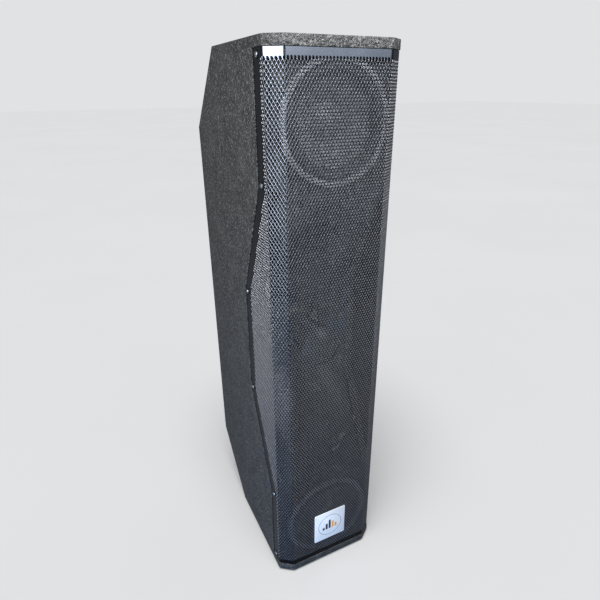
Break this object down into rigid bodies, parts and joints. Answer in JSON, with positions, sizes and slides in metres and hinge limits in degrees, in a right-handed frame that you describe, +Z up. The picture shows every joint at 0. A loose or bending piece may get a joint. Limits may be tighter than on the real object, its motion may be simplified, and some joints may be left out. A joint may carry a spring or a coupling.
{
  "type": "pa speaker cabinet",
  "caption": "Tall slim PA loudspeaker column: woofer at each end, horn between, folded perforated grille with side wings, slanted back.",
  "frame": {"origin": "centre of the bounding box in plan, on the floor under the feet", "axes": "+Z up, front grille faces -Y, +X to the right seen from the front"},
  "size_m": [0.231, 0.375, 1.045],
  "materials": {
    "textured_paint": "birch ply under hard textured black-grey polyurea paint",
    "baffle_black": "flat black stain",
    "plywood": "bare birch plywood",
    "foot_rubber": "matte",
    "grille_steel": "satin black powder coat, perforated",
    "screw_zinc": "bright zinc",
    "badge_face": "satin pale print on a thin metal plate",
    "moulded_plastic": "fine moulded grain",
    "gloss_plastic": "polished",
    "grip_rubber": "ribbed",
    "plated_steel": "zinc plated",
    "ferrite": "ground ferrite",
    "diaphragm_film": "thin formed film",
    "socket_plastic": "fine",
    "circuit_board": "solder mask",
    "copper_wire": "enamelled",
    "frame_paint": "satin black",
    "gasket_rubber": "matte",
    "surround_cloth": "doped cloth",
    "cone_paper": "pressed pulp",
    "dust_cap_paper": "pressed pulp, lacquered",
    "spider_cloth": "phenolic cloth"
  },
  "bodies": {
    "cabinet": {"badge": "badge_face", "baffle_lower": "baffle_black", "baffle_upper": "baffle_black", "bottom_panel": "textured_paint", "connector_dish": "moulded_plastic", "crossover_board": "circuit_board", "crossover_inductor": "copper_wire", "divider_lower": "plywood", "divider_upper": "plywood", "foot_front_left": "foot_rubber", "foot_front_right": "foot_rubber", "foot_rear_left": "foot_rubber", "foot_rear_right": "foot_rubber", "grille": "grille_steel", "grille_screw_left_1": "screw_zinc", "grille_screw_left_2": "screw_zinc", "grille_screw_left_3": "screw_zinc", "grille_screw_left_4": "screw_zinc", "grille_screw_left_5": "screw_zinc", "grille_screw_left_6": "screw_zinc", "grille_screw_right_1": "screw_zinc", "grille_screw_right_2": "screw_zinc", "grille_screw_right_3": "screw_zinc", "grille_screw_right_4": "screw_zinc", "grille_screw_right_5": "screw_zinc", "grille_screw_right_6": "screw_zinc", "handle_cup": "moulded_plastic", "handle_grip": "grip_rubber", "horn": "moulded_plastic", "lower_woofer_back_plate": "plated_steel", "lower_woofer_frame": "frame_paint", "lower_woofer_gasket": "gasket_rubber", "lower_woofer_magnet": "ferrite", "lower_woofer_spider": "spider_cloth", "lower_woofer_surround": "surround_cloth", "mid_magnet": "ferrite", "mid_rear_cover": "moulded_plastic", "mid_throat_plate": "plated_steel", "phase_plug": "gloss_plastic", "rear_lower_panel": "textured_paint", "rear_panel": "textured_paint", "rear_upper_panel": "textured_paint", "side_panel_left": "textured_paint", "side_panel_right": "textured_paint", "socket_left": "socket_plastic", "socket_right": "socket_plastic", "top_panel": "textured_paint", "upper_woofer_back_plate": "plated_steel", "upper_woofer_frame": "frame_paint", "upper_woofer_gasket": "gasket_rubber", "upper_woofer_magnet": "ferrite", "upper_woofer_spider": "spider_cloth", "upper_woofer_surround": "surround_cloth"},
    "upper_cone": {"upper_woofer_cone": "cone_paper", "upper_woofer_dust_cap": "dust_cap_paper", "upper_woofer_voice_coil": "copper_wire"},
    "lower_cone": {"lower_woofer_cone": "cone_paper", "lower_woofer_dust_cap": "dust_cap_paper", "lower_woofer_voice_coil": "copper_wire"},
    "mid_dome": {"mid_diaphragm": "diaphragm_film"}
  },
  "joints": [
    {"name": "upper_cone_travel", "type": "slide", "parent": "cabinet", "child": "upper_cone", "axis": [0, -1, 0], "range_m": [-0.004, 0.004], "stiffness_N_per_m": 4500, "deforming": ["upper_woofer_surround", "upper_woofer_spider"]},
    {"name": "lower_cone_travel", "type": "slide", "parent": "cabinet", "child": "lower_cone", "axis": [0, -1, 0], "range_m": [-0.004, 0.004], "stiffness_N_per_m": 4500, "deforming": ["lower_woofer_surround", "lower_woofer_spider"]},
    {"name": "mid_dome_travel", "type": "slide", "parent": "cabinet", "child": "mid_dome", "axis": [0, -1, 0], "range_m": [-0.0005, 0.0005], "stiffness_N_per_m": 6000}
  ]
}
